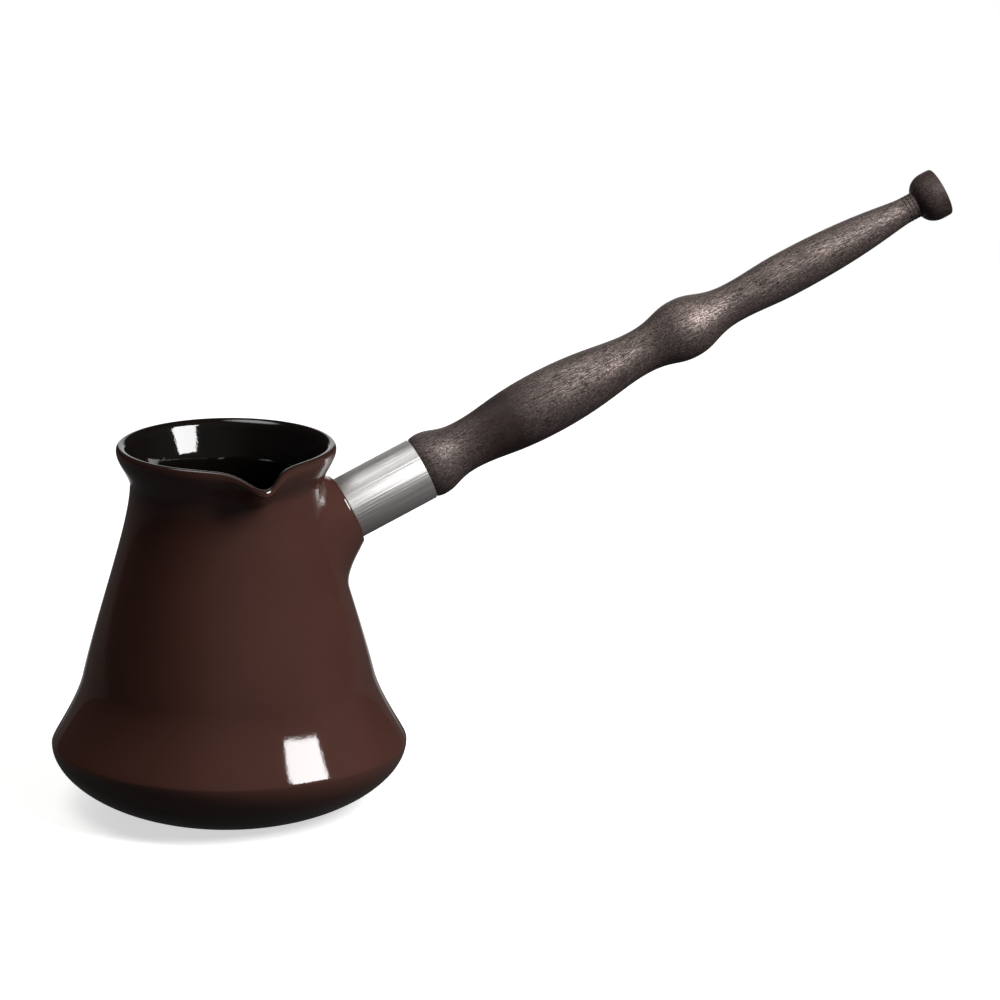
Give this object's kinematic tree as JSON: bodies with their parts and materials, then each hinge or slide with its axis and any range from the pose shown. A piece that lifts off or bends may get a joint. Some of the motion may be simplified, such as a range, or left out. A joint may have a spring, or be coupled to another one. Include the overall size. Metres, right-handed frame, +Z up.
{
  "type": "turkish coffee pot",
  "caption": "Glazed ceramic Turkish coffee pot, bell shaped with a pulled pouring lip, and a turned wooden handle in a metal ferrule that unscrews from the boss.",
  "frame": {"origin": "centre of the flat underside of the foot, on the table", "axes": "+Z up the axis of the pot, +X towards the side that the handle leaves and rises to, -Y towards the pouring lip"},
  "size_m": [0.301, 0.115, 0.1947],
  "materials": {
    "brown_glazed_ceramic": "glossy dark brown glaze outside, glossy black glaze inside",
    "bush_brass": "turned",
    "cement": "matte, set cement",
    "washer_rubber": "matte, heat-proof",
    "stud_steel": "zinc plated, threaded",
    "ferrule_metal": "bright, brushed along its length",
    "stained_wood": "dark brown stain with open grain, satin"
  },
  "bodies": {
    "pot": {"pot_body": "brown_glazed_ceramic", "thread_bush": "bush_brass", "cement_bed": "cement"},
    "washer": {"heat_washer": "washer_rubber"},
    "handle": {"ferrule": "ferrule_metal", "handle_stud": "stud_steel", "handle_grip": "stained_wood"}
  },
  "joints": [
    {"name": "handle_draw", "type": "slide", "parent": "pot", "child": "washer", "axis": [0.907, 0, 0.421], "range_m": [0, 0.012]},
    {"name": "handle_unscrew", "type": "hinge", "parent": "washer", "child": "handle", "pos_m": [0, 0, 0.0762], "axis": [0.907, 0, 0.421], "range_deg": [0, 4320]}
  ],
  "couplings": [
    {"joint": "handle_draw", "follows": "handle_unscrew", "m_per_rad": 0.00015915}
  ]
}
